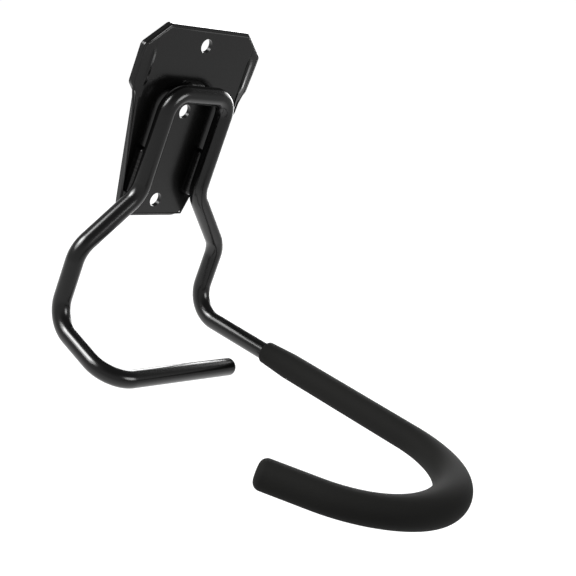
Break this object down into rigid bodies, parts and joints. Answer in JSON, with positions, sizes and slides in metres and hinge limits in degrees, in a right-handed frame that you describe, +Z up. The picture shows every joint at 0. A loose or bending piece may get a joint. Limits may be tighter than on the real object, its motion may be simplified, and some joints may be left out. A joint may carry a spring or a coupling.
{
  "type": "bike hook",
  "caption": "Wall hook for a bicycle wheel: bent round bar with a short guard arm and a foam-covered J end, welded to an octagonal screw plate.",
  "frame": {"origin": "on the wall plane, at the middle of the land that the plate's top edge turns back onto the wall", "axes": "+Y into the wall, -Y out into the room along the hook's forward run, +Z up, +X to the right for someone who faces the wall"},
  "size_m": [0.1665, 0.291, 0.216],
  "materials": {
    "black_enamel": "gloss",
    "black_foam": "matte"
  },
  "bodies": {
    "root": {"wall_plate": "black_enamel", "hook_rod": "black_enamel", "weld_seams": "black_enamel", "foam_sleeve": "black_foam"}
  },
  "joints": []
}
